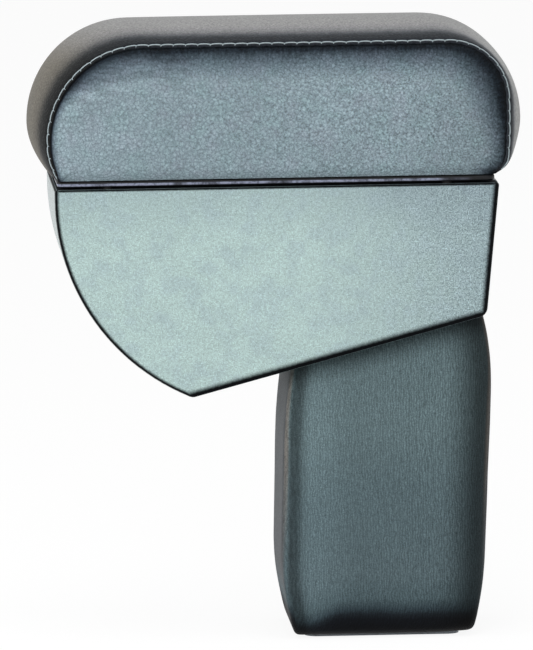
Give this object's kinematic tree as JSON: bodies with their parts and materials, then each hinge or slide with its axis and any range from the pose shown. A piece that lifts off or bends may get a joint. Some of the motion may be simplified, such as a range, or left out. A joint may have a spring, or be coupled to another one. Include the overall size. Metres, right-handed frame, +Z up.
{
  "type": "car centre armrest",
  "caption": "Car centre armrest: padded leatherette lid hinged at the rear over an arc-fronted storage box, on an upholstered leg with a bolt-down foot.",
  "frame": {"origin": "centre of the foot plate's underside, where the armrest stands on the car's tunnel", "axes": "+Z up, -X towards the front of the car, Y across the car; the lid's hinge axis lies along Y at the rear"},
  "size_m": [0.3013, 0.142, 0.3766],
  "materials": {
    "lid_leatherette": "satin",
    "strip_leatherette": "satin",
    "leg_leatherette": "satin",
    "box_plastic": "satin",
    "pan_plastic": "gloss",
    "foot_plastic": "satin",
    "foam": "matte",
    "padding": "matte",
    "board": "matte",
    "steel": "satin",
    "bumper_rubber": "matte"
  },
  "bodies": {
    "base": {"box_shell": "box_plastic", "lid_bumpers": "bumper_rubber", "hinge_box_leaf": "steel", "hinge_pin": "steel", "hinge_box_screws": "steel", "leg_front_board": "board", "leg_rear_board": "board", "leg_near_board": "board", "leg_far_board": "board", "leg_top_block": "board", "leg_base_board": "board", "leg_inserts": "steel", "leg_clamp_plate": "steel", "leg_clamp_screws": "steel", "leg_padding": "padding", "leg_cover": "leg_leatherette", "foot_plate": "foot_plastic", "foot_screws": "steel"},
    "lid": {"lid_pan": "pan_plastic", "lid_pan_screws": "steel", "lid_board": "board", "lid_foam": "foam", "lid_cover_top": "strip_leatherette", "lid_cover_near": "lid_leatherette", "lid_cover_far": "lid_leatherette", "hinge_lid_leaf": "steel", "hinge_lid_screws": "steel"}
  },
  "joints": [
    {"name": "lid_hinge", "type": "hinge", "parent": "base", "child": "lid", "pos_m": [0.07, 0, 0.27725], "axis": [0, 1, 0], "range_deg": [0, 120]}
  ]
}
